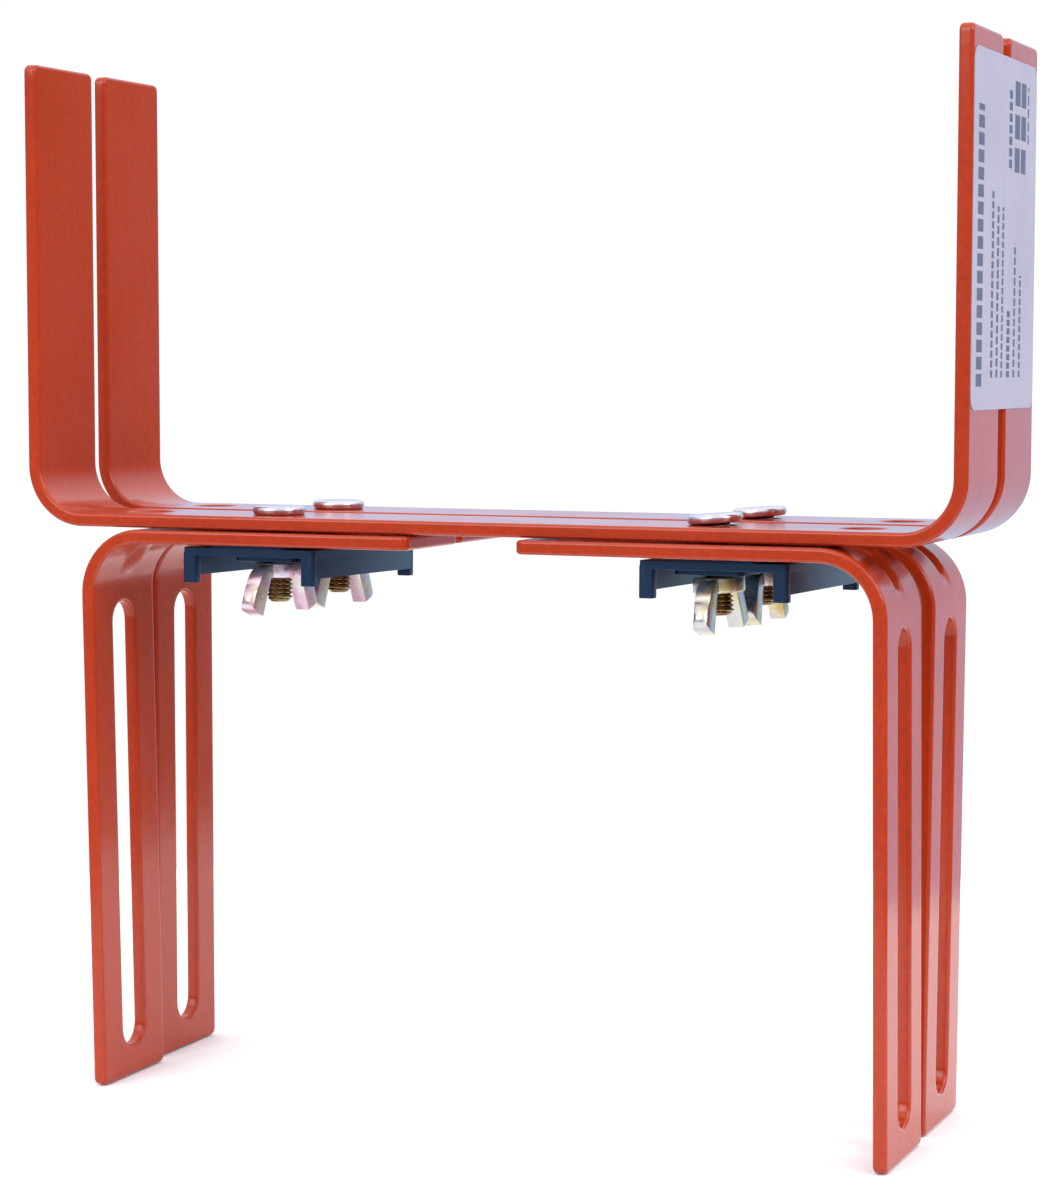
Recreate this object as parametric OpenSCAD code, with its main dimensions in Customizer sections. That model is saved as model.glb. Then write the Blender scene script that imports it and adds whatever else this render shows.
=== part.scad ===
/* [Cradle straps] */
// Clear width between the two upright arms, for the flower box
box_w = 180; // [150:1:200]
// Height of the arm tips above the underside of the cradle base
arm_h = 88; // [60:1:120]
// Width of the coated cradle strap
cradle_w = 21; // [18:0.5:22]
// Thickness of every coated strap
strap_t = 2.6; // [2:0.1:3.2]
// Outside radius of the cradle bends
cradle_bend = 11.6; // [8:0.2:20]
// Diameter of the round holes in the cradle base
hole_d = 8; // [6:0.5:9]
// Distance of the used bolt hole from the middle
hole_in_x = 44; // [40:0.5:46]
// Distance of the spare outer hole from the middle
hole_out_x = 71.5; // [66:0.5:74]

/* [Jaw straps] */
// Width of the coated jaw strap
jaw_w = 23; // [20:0.5:23.5]
// Length of the horizontal leg, from the outer face of the upright leg
jaw_reach = 69; // [60:1:72]
// Outside radius of the jaw bend
jaw_bend = 12.5; // [10:0.5:16]
// Width of the slots
slot_w = 7.8; // [6:0.2:10]
// Distance from the tip of the leg to the end of its slot
slot_tip = 5.8; // [4:0.2:10]
// Distance from the top of the jaw strap to the upper end of the leg slot
slot_top = 14.5; // [13:0.5:20]
// Outer face of the front left jaw leg, from the middle
jaw_fl_x = 80.4; // [78:0.2:92]
// Outer face of the rear left jaw leg
jaw_rl_x = 81; // [78:0.2:92]
// Outer face of the front right jaw leg
jaw_fr_x = 79.3; // [78:0.1:92]
// Outer face of the rear right jaw leg
jaw_rr_x = 80.5; // [78:0.1:92]
// Lean of the front left leg, as bent
lean_fl = 1.0; // [0:0.1:2]
// Lean of the rear right leg, as bent
lean_rr = 0.4; // [0:0.05:2]
// Lean of the front right leg, as bent; it spreads outwards
lean_fr = -0.65; // [-2:0.05:0]
// Sideways play taken up by the front right jaw
side_fr = 0.8; // [0:0.1:1.2]
// Sideways play taken up by the rear right jaw
side_rr = 1.0; // [0:0.1:1.2]
// Sideways play taken up by the rear cradle strap
side_rear = 0.5; // [0:0.1:1]

/* [Pair] */
// Distance between the middles of the front and rear bracket
pitch = 25; // [24:0.5:30]
// Height of the underside of the cradle base above the leg tips
deck_z = 108.5; // [90:0.5:140]

/* [Fasteners] */
// Nominal bolt diameter
bolt_d = 5; // [4:1:6]
// Bolt length under the head
bolt_len = 16.5; // [14:0.5:20]
// Diameter of the flat round head
head_d = 10.2; // [9.5:0.1:12]
// Height of the head
head_h = 1.8; // [1.5:0.1:3]
// Lean of the two right hand bolts in their oversize holes
bolt_lean = 4; // [0:0.5:4.5]
// Position of the left bolts
bolt_l_x = -43.5; // [-45:0.1:-43]
// Position of the right bolts
bolt_r_x = 44.1; // [43:0.1:45]
// Height of the wing nut's threaded hub
hub_h = 3; // [2.5:0.1:4]

/* [Clamp plates] */
// Width of a clamp plate across the brackets
plate_w = 27.8; // [26:0.1:30]
// Length of a clamp plate along the pair
plate_l = 44.2; // [40:0.1:48]
// Middle of the left clamp plate
plate_l_x = -45.3; // [-46:0.1:-43]
// Middle of the right clamp plate
plate_r_x = 46.9; // [45.5:0.1:47.5]
// Tilt of both plates, which hang lower at the rear bracket
plate_tilt = 0.9; // [0:0.1:1.5]

/* [Label] */
// Height of the label
label_h = 61; // [40:1:64]
// Width of the label
label_w = 44.6; // [30:0.1:46]

/* [Hidden] */
$fn = 64;

front_y = -pitch / 2;
rear_y = pitch / 2;
corner_r = 1.4;      // rounding of strap ends seen on the flat
jaw_gap = 0.3;       // play between cradle base and jaw strap
jaw_top = deck_z - jaw_gap;
pad_top = deck_z - 3.0;      // raised pad of the clamp plate
slab_top = pad_top - 0.4;
slab_t = 1.6;
boss_h = 1.0;
wall_t = 1.8;
wall_bot = deck_z - 8.8;
lip_bot = deck_z - 10.2;
boss_bot = slab_top - slab_t - boss_h;
// underside of the boss at distance y along the pair, where the hub's rear rim meets it
function hub_top(y) = boss_bot - 0.05 - (y + 4.8 + plate_l / 2) * sin(plate_tilt);
run_fit = 0.05;      // radial clearance of nut on bolt
coat_red = [0.78, 0.25, 0.16];
coat_red2 = [0.72, 0.22, 0.15];
navy = [0.06, 0.12, 0.19];
zinc = [0.80, 0.80, 0.84];
chromate = [0.83, 0.76, 0.58];

// flat rounded rectangle, x by y, centred on the origin
module rrect(x, y, r) {
    union() {
        square([x - 2 * r, y], center = true);
        square([x, y - 2 * r], center = true);
        for (i = [-1, 1], j = [-1, 1])
            translate([i * (x / 2 - r), j * (y / 2 - r)]) circle(r);
    }
}

// flat slot with round ends, total length len along X
module slot2d(len, w) {
    union() {
        square([len - w, w], center = true);
        for (i = [-1, 1]) translate([i * (len - w) / 2, 0]) circle(w / 2);
    }
}

// side view of the U: X to the right, height upwards, underside of the base at 0
module u_profile(half, r, top) {
    union() {
        translate([-half, r]) square([2 * half, top - r]);
        translate([-half + r, 0]) square([2 * (half - r), r + 0.01]);
        for (i = [-1, 1]) translate([i * (half - r), r]) circle(r);
    }
}

module cradle(y) {
    half_o = box_w / 2 + strap_t;
    translate([0, y, deck_z])
    difference() {
        intersection() {
            rotate([90, 0, 0]) linear_extrude(cradle_w, center = true)
                difference() {
                    u_profile(half_o, cradle_bend, arm_h);
                    translate([0, strap_t])
                        u_profile(box_w / 2, cradle_bend - strap_t, arm_h);
                }
            // rounded tips of the arms
            rotate([90, 0, 90]) linear_extrude(3 * box_w, center = true)
                union() {
                    translate([0, arm_h - 20]) rrect(cradle_w, 40, corner_r);
                    translate([-cradle_w / 2, -10]) square([cradle_w, arm_h - 10]);
                }
        }
        for (x = [-hole_out_x, -hole_in_x, hole_in_x, hole_out_x])
            translate([x, 0, -1]) cylinder(d = hole_d, h = strap_t + 2);
    }
}

// points on an arc about the origin, from angle a0 to a1
function arc(r, a0, a1, n = 24) = [for (i = [0:n]) r * [cos(a0 + (a1 - a0) * i / n), sin(a0 + (a1 - a0) * i / n)]];
// side view of a left hand jaw strap: outer face of the leg at 0, top at 0;
// a leg bent a degrees too far gets a finely stepped bend
module jaw_profile(a, drop) {
    r = jaw_bend;
    leg = drop - r;
    tip = leg * [sin(a), -cos(a)];
    if (a == 0) union() {
        translate([r, -strap_t]) square([jaw_reach - r, strap_t]);
        translate([0, -drop]) square([strap_t, leg]);
        translate([r, -r]) intersection() {
            difference() { circle(r); circle(r - strap_t); }
            translate([-r - 1, 0]) square([r + 1, r + 1]);
        }
    }
    else translate([r, -r]) polygon(concat(
        [[jaw_reach - r, r]],
        arc(r, 90, 180 + a),
        [[-r * cos(a), -r * sin(a)] + tip],
        [[-(r - strap_t) * cos(a), -(r - strap_t) * sin(a)] + tip],
        arc(r - strap_t, 180 + a, 90),
        [[jaw_reach - r, r - strap_t]]));
}

// capsule lying across the bend at 45 degrees, at radius rad from the bend centre
module bend_bead(rad, rr, len) {
    translate([jaw_bend, 0, -jaw_bend]) rotate([0, -45, 0]) translate([0, 0, rad])
        rotate([0, 90, 0]) union() {
            cylinder(r = rr, h = len, center = true);
            for (s = [-1, 1]) translate([0, 0, s * len / 2]) sphere(rr);
        }
}

// left hand jaw strap, local: outer leg face at x = 0, top at z = 0, middle at y = 0
module jaw_local(a = 0) {
    drop = jaw_top - jaw_bend * sin(a) + (a < 0 ? strap_t * sin(a) : 0);
    lip = 12;
    slot_len = drop - slot_top - slot_tip;
    difference() {
        union() {
            intersection() {
                rotate([90, 0, 0]) linear_extrude(jaw_w, center = true) jaw_profile(a, drop);
                // rounded free end of the horizontal leg
                translate([0, 0, -drop - 5]) linear_extrude(drop + 10)
                    union() {
                        translate([jaw_reach - 20, 0]) rrect(40, jaw_w, corner_r);
                        translate([-lip, -jaw_w / 2]) square([jaw_reach, jaw_w]);
                    }
                // rounded tip of the upright leg
                translate([jaw_bend, 0, -jaw_bend]) rotate([0, -a, 0])
                    translate([0, 0, -(drop - jaw_bend)])
                    rotate([90, 0, 90]) linear_extrude(4 * jaw_reach, center = true)
                    union() {
                        translate([0, 20]) rrect(jaw_w, 40, corner_r);
                        translate([-jaw_w / 2, 10]) square([jaw_w, 2 * drop]);
                    }
            }
            bend_bead(jaw_bend - strap_t + 0.7, 2.2, 5.5);
        }
        bend_bead(jaw_bend + 0.75, 2.0, 6.5);
        // slot in the upright leg
        translate([jaw_bend, 0, -jaw_bend]) rotate([0, -a, 0])
            translate([-jaw_bend, 0, -(drop - jaw_bend) + slot_tip + slot_len / 2])
            rotate([0, 90, 0]) linear_extrude(12, center = true) slot2d(slot_len, slot_w);
        // slot in the horizontal leg, for the clamping bolt
        translate([42.5, 0, -strap_t / 2]) linear_extrude(12, center = true)
            slot2d(45, 8.5);
    }
}

module jaw_left(x, y, a = 0) { translate([-x, y, jaw_top]) jaw_local(a); }
module jaw_right(x, y, a = 0) { translate([x, y, jaw_top]) mirror([1, 0, 0]) jaw_local(a); }

// moulded plate: thin slab, two skirts, four corner lips, pads round the bolts
module clamp_plate(x, dx) {
    translate([x, -plate_l / 2, pad_top]) rotate([-plate_tilt, 0, 0]) translate([0, plate_l / 2, -pad_top])
    difference() {
        union() {
            translate([0, 0, slab_top - slab_t]) linear_extrude(slab_t) rrect(plate_w, plate_l, 1.2);
            translate([0, 0, slab_top - 0.5]) linear_extrude(pad_top - slab_top + 0.5)
                rrect(plate_w - 12.4, plate_l, 0.6);
            for (s = [-1, 1]) {
                translate([s * (plate_w / 2 - wall_t / 2), 0, wall_bot])
                    linear_extrude(slab_top - wall_bot - 0.4)
                    square([wall_t, plate_l - 2.4], center = true);
                for (t = [-1, 1])
                    translate([s * (plate_w / 2 - 1.4), t * (plate_l / 2 - 1.25), lip_bot])
                        linear_extrude(slab_top - lip_bot - 0.4) rrect(2.8, 2.5, 0.7);
            }
            for (y = [front_y, rear_y]) translate([dx, y, boss_bot])
                linear_extrude(boss_h + 0.3) rrect(13, 13, 2);
        }
        for (y = [front_y, rear_y]) translate([dx, y, boss_bot - 1])
            linear_extrude(10) slot2d(9, bolt_d + 1.2);
    }
}

// bolt, local: axis at the origin, underside of the head at z = 0
module bolt_local() {
    rim = 0.9;
    union() {
        rotate_extrude()
            union() {
                square([head_d / 2 - 0.9, head_h]);
                square([head_d / 2, rim]);
                translate([head_d / 2 - 0.9, rim]) intersection() {
                    circle(0.9);
                    square(1);
                }
            }
        translate([0, 0, -bolt_len + 0.6]) cylinder(d = bolt_d, h = bolt_len);
        translate([0, 0, -bolt_len]) cylinder(d1 = bolt_d - 1.2, d2 = bolt_d, h = 0.62);
    }
}

// places children on the axis of a bolt: lean about Y, foot point at the top of the cradle base
module on_axis(x, y, lean) {
    translate([x, y, deck_z + strap_t]) rotate([0, -lean, 0]) children();
}

module wing_local(s) {
    // one wing of sheet folded flat on itself; s = -1 points to -Y
    fold = 1.5;
    wing_w = 4.6;
    mirror([0, s < 0 ? 1 : 0, 0]) intersection() {
        // seen from above along the wing: round fold at the outer edge
        translate([0, 4.3, -0.6]) rotate([21, 0, 0]) translate([0, 0, -11]) linear_extrude(15)
            union() {
                translate([-fold, -3]) square([2 * fold, wing_w - fold + 3]);
                translate([0, wing_w - fold]) circle(fold);
            }
        // seen from the side: round shoulder, leaning wing, rounded tip
        rotate([90, 0, 90]) linear_extrude(8, center = true)
            polygon([[3, -2.7], [3, -0.35], [4.6, -0.35], [6.2, -0.7], [7.5, -1.4], [8.5, -2.4],
                [9.2, -3.7], [11.4, -6.25], [11.55, -7.1], [11.25, -8.15], [10.4, -8.95],
                [7.9, -9.95], [5.5, -3.7], [5, -2.7]]);
    }
}

// wing nut, local: axis at the origin, top of the hub at z = 0, wings hang down
module wing_nut_local(turn) {
    rotate([0, 0, turn]) difference() {
        union() {
            translate([0, 0, -hub_h]) cylinder(d = 9.4, h = hub_h);
            for (s = [-1, 1]) wing_local(s);
        }
        translate([0, 0, -hub_h - 16]) cylinder(r = bolt_d / 2 + run_fit, h = hub_h + 20);
    }
}

drop_r = 0.28;       // right hand nuts sit this much lower, because their axes lean
module nut_l(y, turn) {
    on_axis(bolt_l_x, y, 0) translate([0, 0, hub_top(y) - deck_z - strap_t]) wing_nut_local(turn);
}
module nut_r(y, turn) {
    on_axis(bolt_r_x, y, bolt_lean)
        translate([0, 0, hub_top(y) - deck_z - strap_t - drop_r]) wing_nut_local(turn);
}

module cradle_strap_front() { color(coat_red) cradle(front_y); }
module cradle_strap_rear() { color(coat_red2) cradle(rear_y + side_rear); }
module jaw_strap_front_left() { color(coat_red) jaw_left(jaw_fl_x, front_y, lean_fl); }
module jaw_strap_front_right() { color(coat_red) jaw_right(jaw_fr_x, front_y - side_fr, lean_fr); }
module jaw_strap_rear_left() { color(coat_red2) jaw_left(jaw_rl_x, rear_y); }
module jaw_strap_rear_right() { color(coat_red2) jaw_right(jaw_rr_x, rear_y + side_rr, lean_rr); }
module clamp_plate_left() { color(navy) clamp_plate(plate_l_x, bolt_l_x - plate_l_x); }
module clamp_plate_right() {
    color(navy) clamp_plate(plate_r_x, bolt_r_x + 9 * sin(bolt_lean) - plate_r_x);
}
module bolt_front_left() { color(zinc) on_axis(bolt_l_x, front_y, 0) bolt_local(); }
module bolt_rear_left() { color(zinc) on_axis(bolt_l_x, rear_y, 0) bolt_local(); }
module bolt_front_right() {
    color(zinc) on_axis(bolt_r_x, front_y, bolt_lean)
        translate([0, 0, head_d / 2 * sin(bolt_lean)]) bolt_local();
}
module bolt_rear_right() {
    color(zinc) on_axis(bolt_r_x, rear_y, bolt_lean)
        translate([0, 0, head_d / 2 * sin(bolt_lean)]) bolt_local();
}
module wing_nut_front_left() { color(chromate) nut_l(front_y, -5); }
module wing_nut_rear_left() { color(chromate) nut_l(rear_y, -4); }
module wing_nut_front_right() { color(chromate) nut_r(front_y, 0); }
module wing_nut_rear_right() { color(chromate) nut_r(rear_y, 2); }
module bundle_label() {
    color([0.93, 0.93, 0.97])
    translate([box_w / 2 + strap_t, 0, deck_z + 23.4 + label_h / 2])
        rotate([90, 0, 90]) linear_extrude(0.25) rrect(label_w, label_h, 2.5);
}

cradle_strap_front();
cradle_strap_rear();
jaw_strap_front_left();
jaw_strap_front_right();
jaw_strap_rear_left();
jaw_strap_rear_right();
clamp_plate_left();
clamp_plate_right();
bolt_front_left();
bolt_front_right();
bolt_rear_left();
bolt_rear_right();
wing_nut_front_left();
wing_nut_front_right();
wing_nut_rear_left();
wing_nut_rear_right();
bundle_label();
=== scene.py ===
import math

import bmesh
import bpy
import numpy as np
from mathutils import Matrix, Vector
from mathutils.geometry import delaunay_2d_cdt


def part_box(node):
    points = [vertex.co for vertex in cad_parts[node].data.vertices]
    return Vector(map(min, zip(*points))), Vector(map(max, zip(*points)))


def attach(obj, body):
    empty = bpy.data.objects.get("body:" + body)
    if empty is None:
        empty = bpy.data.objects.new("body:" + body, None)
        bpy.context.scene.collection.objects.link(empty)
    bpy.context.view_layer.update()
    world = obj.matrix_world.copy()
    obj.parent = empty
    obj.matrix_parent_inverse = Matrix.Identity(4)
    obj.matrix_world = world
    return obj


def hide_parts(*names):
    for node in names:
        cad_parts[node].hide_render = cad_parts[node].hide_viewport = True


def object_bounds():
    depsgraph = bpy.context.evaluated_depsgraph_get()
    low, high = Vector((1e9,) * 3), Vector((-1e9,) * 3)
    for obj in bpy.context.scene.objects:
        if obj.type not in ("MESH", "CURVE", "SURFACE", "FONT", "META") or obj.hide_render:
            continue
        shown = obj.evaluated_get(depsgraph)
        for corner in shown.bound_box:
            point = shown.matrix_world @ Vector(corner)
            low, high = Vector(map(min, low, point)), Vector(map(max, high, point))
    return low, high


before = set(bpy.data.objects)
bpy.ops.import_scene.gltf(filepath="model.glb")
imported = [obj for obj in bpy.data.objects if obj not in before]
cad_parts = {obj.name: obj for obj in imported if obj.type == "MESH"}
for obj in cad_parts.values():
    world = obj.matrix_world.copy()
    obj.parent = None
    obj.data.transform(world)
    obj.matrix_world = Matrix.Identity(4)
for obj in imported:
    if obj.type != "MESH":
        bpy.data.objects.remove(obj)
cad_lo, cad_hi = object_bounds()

MM = 0.001
scene = bpy.context.scene

# ---------------------------------------------------------------- sizes, mm
T = 2.6                      # strap thickness
EDGE = 0.65                  # rounding of the coated edges
CORNER = 1.4                 # rounding of the strap ends
CRADLE_R, JAW_R = 11.6, 12.5
JAW_REACH = 69.0
SLOT_W, SLOT_TIP, SLOT_TOP = 7.8, 5.8, 14.5
# leg of each jaw: distance of its outer face from the middle, lean in degrees
JAWS = {"front_left": (80.4, 1.0), "front_right": (79.3, -0.65), "rear_left": (81.0, 0.0), "rear_right": (80.5, 0.4)}
BOLT_Y = {"front": -12.5, "rear": 12.5}
BOLT_LEAN = math.radians(4.0)
BOLT_LEN, HEAD_D, HEAD_H = 16.5, 10.2, 1.8


def box_mm(node):
    lo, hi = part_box(node)
    return np.array(lo) / MM, np.array(hi) / MM


# ---------------------------------------------------------------- materials
def new_material(name):
    m = bpy.data.materials.new(name)
    m.use_nodes = True
    nt = m.node_tree
    nt.nodes.clear()
    out = nt.nodes.new("ShaderNodeOutputMaterial")
    bsdf = nt.nodes.new("ShaderNodeBsdfPrincipled")
    nt.links.new(bsdf.outputs[0], out.inputs["Surface"])
    return m, nt, bsdf


def node(nt, kind, **kw):
    n = nt.nodes.new(kind)
    for k, v in kw.items():
        if k in n.inputs.keys():
            n.inputs[k].default_value = v
        else:
            setattr(n, k, v)
    return n


def coords(nt, scale=(1, 1, 1)):
    tc = nt.nodes.new("ShaderNodeTexCoord")
    mp = nt.nodes.new("ShaderNodeMapping")
    mp.inputs["Scale"].default_value = scale
    nt.links.new(tc.outputs["Object"], mp.inputs["Vector"])
    return mp.outputs[0]


def noise(nt, vec, scale, detail=2.0, rough=0.5):
    n = nt.nodes.new("ShaderNodeTexNoise")
    n.inputs["Scale"].default_value = scale
    n.inputs["Detail"].default_value = detail
    n.inputs["Roughness"].default_value = rough
    nt.links.new(vec, n.inputs["Vector"])
    return n.outputs["Fac"]


def ramp(nt, fac, stops, interp="LINEAR"):
    r = nt.nodes.new("ShaderNodeValToRGB")
    r.color_ramp.interpolation = interp
    el = r.color_ramp.elements
    el[0].position, el[0].color = stops[0][0], (*stops[0][1], 1)
    el[1].position, el[1].color = stops[-1][0], (*stops[-1][1], 1)
    for p, c in stops[1:-1]:
        e = el.new(p)
        e.color = (*c, 1)
    nt.links.new(fac, r.inputs[0])
    return r.outputs[0]


def maprange(nt, val, a, b, c, d):
    m = nt.nodes.new("ShaderNodeMapRange")
    m.inputs["From Min"].default_value = a
    m.inputs["From Max"].default_value = b
    m.inputs["To Min"].default_value = c
    m.inputs["To Max"].default_value = d
    nt.links.new(val, m.inputs["Value"])
    return m.outputs[0]


def mix_color(nt, fac, a, b, mode="MIX"):
    m = nt.nodes.new("ShaderNodeMix")
    m.data_type = "RGBA"
    m.blend_type = mode
    for sock, val in ((m.inputs[0], fac), (m.inputs[6], a), (m.inputs[7], b)):
        if isinstance(val, (int, float)):
            sock.default_value = val
        elif isinstance(val, tuple):
            sock.default_value = (*val, 1)
        else:
            nt.links.new(val, sock)
    return m.outputs[2]


def bump(nt, height, strength, distance, normal=None):
    b = nt.nodes.new("ShaderNodeBump")
    b.inputs["Strength"].default_value = strength
    b.inputs["Distance"].default_value = distance
    nt.links.new(height, b.inputs["Height"])
    if normal is not None:
        nt.links.new(normal, b.inputs["Normal"])
    return b.outputs[0]


def coating(name, seed):
    """thick glossy plastic coating on steel strap: even brick red, slight flow and orange peel"""
    m, nt, p = new_material(name)
    v = coords(nt)
    tc = nt.nodes.new("ShaderNodeTexCoord")
    mp = nt.nodes.new("ShaderNodeMapping")
    mp.inputs["Location"].default_value = (seed, seed * 0.7, seed * 1.3)
    nt.links.new(tc.outputs["Object"], mp.inputs["Vector"])
    v = mp.outputs[0]
    broad = noise(nt, v, 22.0, 3.0, 0.55)
    fine = noise(nt, v, 900.0, 2.0, 0.6)
    col = ramp(nt, broad, [(0.30, (0.368, 0.0290, 0.0040)), (0.70, (0.408, 0.0350, 0.0058))])
    grain = maprange(nt, fine, 0.3, 0.7, 0.90, 1.08)
    comb = nt.nodes.new("ShaderNodeVectorMath")
    comb.operation = "SCALE"
    nt.links.new(col, comb.inputs[0])
    nt.links.new(grain, comb.inputs["Scale"])
    nt.links.new(comb.outputs[0], p.inputs["Base Color"])
    rough = maprange(nt, noise(nt, v, 60.0, 3.0, 0.6), 0.3, 0.7, 0.13, 0.20)
    nt.links.new(rough, p.inputs["Roughness"])
    p.inputs["IOR"].default_value = 1.43
    n1 = bump(nt, noise(nt, v, 420.0, 2.0, 0.5), 0.10, 0.0003)
    n2 = bump(nt, noise(nt, v, 45.0, 2.0, 0.5), 0.10, 0.0012, n1)
    nt.links.new(n2, p.inputs["Normal"])
    return m


def navy_plastic(name):
    m, nt, p = new_material(name)
    v = coords(nt)
    broad = noise(nt, v, 60.0, 3.0, 0.6)
    fine = noise(nt, v, 1400.0, 3.0, 0.65)
    col = ramp(nt, broad, [(0.3, (0.003, 0.012, 0.038)), (0.7, (0.005, 0.017, 0.050))])
    nt.links.new(col, p.inputs["Base Color"])
    nt.links.new(maprange(nt, fine, 0.3, 0.7, 0.30, 0.42), p.inputs["Roughness"])
    p.inputs["Specular Tint"].default_value = (0.48, 0.74, 1.0, 1)
    nt.links.new(bump(nt, fine, 0.22, 0.00012), p.inputs["Normal"])
    return m


def zinc(name):
    """zinc plated bolt: silver and pale lilac head, darker brown thread colour from the straps' underside down"""
    m, nt, p = new_material(name)
    v = coords(nt)
    n = noise(nt, v, 180.0, 4.0, 0.6)
    head = ramp(nt, n, [(0.25, (0.50, 0.46, 0.52)), (0.55, (0.62, 0.57, 0.62)), (0.8, (0.66, 0.56, 0.46))])
    thread = ramp(nt, n, [(0.25, (0.15, 0.075, 0.04)), (0.5, (0.23, 0.14, 0.065)), (0.75, (0.33, 0.27, 0.12))])
    sep = nt.nodes.new("ShaderNodeSeparateXYZ")
    nt.links.new(v, sep.inputs[0])
    # head colour above, darker brown thread colour from just above the straps' underside down
    low = maprange(nt, sep.outputs[2], DECK * MM + 0.0012, DECK * MM + 0.0002, 0.0, 1.0)
    nt.links.new(mix_color(nt, low, head, thread), p.inputs["Base Color"])
    p.inputs["Metallic"].default_value = 1.0
    nt.links.new(maprange(nt, noise(nt, v, 700.0, 3.0, 0.6), 0.3, 0.7, 0.20, 0.34), p.inputs["Roughness"])
    nt.links.new(bump(nt, noise(nt, v, 900.0, 2.0, 0.5), 0.15, 0.0001), p.inputs["Normal"])
    return m


def chromate(name, tones):
    """yellow passivated steel with pale green, pink and straw clouds"""
    m, nt, p = new_material(name)
    v = coords(nt)
    warp = nt.nodes.new("ShaderNodeTexNoise")
    warp.inputs["Scale"].default_value = 130.0
    warp.inputs["Detail"].default_value = 3.0
    nt.links.new(v, warp.inputs["Vector"])
    col = ramp(nt, warp.outputs["Fac"], list(zip((0.28, 0.38, 0.45, 0.52, 0.60, 0.70), tones)))
    nt.links.new(col, p.inputs["Base Color"])
    p.inputs["Metallic"].default_value = 0.9
    nt.links.new(maprange(nt, noise(nt, v, 500.0, 3.0, 0.6), 0.3, 0.7, 0.22, 0.38), p.inputs["Roughness"])
    nt.links.new(bump(nt, noise(nt, v, 650.0, 2.0, 0.5), 0.18, 0.00012), p.inputs["Normal"])
    return m


PINKISH = ((0.66, 0.46, 0.32), (0.66, 0.58, 0.40), (0.62, 0.60, 0.56), (0.64, 0.53, 0.64), (0.68, 0.46, 0.52), (0.64, 0.58, 0.44))
STRAW = ((0.40, 0.27, 0.08), (0.58, 0.50, 0.27), (0.56, 0.56, 0.48), (0.52, 0.52, 0.54), (0.62, 0.55, 0.38), (0.48, 0.36, 0.14))


def label_paper(name, lo, hi):
    """white label with plain grey bars in place of print; bars run up the label"""
    m, nt, p = new_material(name)
    tc = nt.nodes.new("ShaderNodeTexCoord")
    sep = nt.nodes.new("ShaderNodeSeparateXYZ")
    nt.links.new(tc.outputs["Object"], sep.inputs[0])
    y, z = sep.outputs[1], sep.outputs[2]

    def math_node(op, a, b=None):
        n = nt.nodes.new("ShaderNodeMath")
        n.operation = op
        for i, s in enumerate((a, b)):
            if s is None:
                continue
            if isinstance(s, (int, float)):
                n.inputs[i].default_value = s
            else:
                nt.links.new(s, n.inputs[i])
        return n.outputs[0]

    def bar(y0, y1, z0, z1, dash):
        a = math_node("MULTIPLY", math_node("GREATER_THAN", y, (lo[1] + y0) * MM),
                      math_node("LESS_THAN", y, (lo[1] + y1) * MM))
        b = math_node("MULTIPLY", math_node("GREATER_THAN", z, (lo[2] + z0) * MM),
                      math_node("LESS_THAN", z, (lo[2] + z1) * MM))
        step = math_node("FRACT", math_node("DIVIDE", math_node("SUBTRACT", z, (lo[2] + z0) * MM), dash * MM))
        duty = math_node("LESS_THAN", step, 0.74)
        return math_node("MULTIPLY", math_node("MULTIPLY", a, b), duty)

    bars = None
    for b in LABEL_BARS:
        s = bar(*b)
        bars = s if bars is None else math_node("MAXIMUM", bars, s)
    v = coords(nt)
    speck = noise(nt, v, 1500.0, 2.0, 0.6)
    paper = ramp(nt, noise(nt, v, 60.0, 3.0, 0.6), [(0.3, (0.395, 0.36, 0.445)), (0.7, (0.435, 0.40, 0.485))])
    ink = ramp(nt, speck, [(0.35, (0.035, 0.038, 0.09)), (0.65, (0.12, 0.11, 0.19))])
    nt.links.new(mix_color(nt, bars, paper, ink), p.inputs["Base Color"])
    nt.links.new(maprange(nt, speck, 0.3, 0.7, 0.34, 0.46), p.inputs["Roughness"])
    nt.links.new(bump(nt, noise(nt, v, 240.0, 3.0, 0.5), 0.12, 0.0002), p.inputs["Normal"])
    return m


# bars on the label, mm from its lower front corner: across0, across1, up0, up1, length of one dash
LABEL_BARS = [
    (3.0, 6.9, 4.0, 51.5, 2.9),
    (12.8, 14.4, 5.5, 37.5, 1.7), (16.6, 18.1, 5.5, 35.0, 1.9), (20.2, 21.3, 5.5, 35.0, 1.6),
    (24.2, 26.6, 5.5, 17.5, 1.5), (29.0, 30.4, 5.5, 29.0, 1.8), (33.0, 34.5, 5.5, 23.5, 1.6),
    (24.2, 26.6, 42.0, 56.0, 2.0), (28.4, 32.2, 41.5, 58.5, 5.8), (33.0, 36.6, 41.5, 58.5, 5.8), (37.8, 38.8, 47.0, 57.0, 2.3),
]

# ---------------------------------------------------------------- strap sheets


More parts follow.
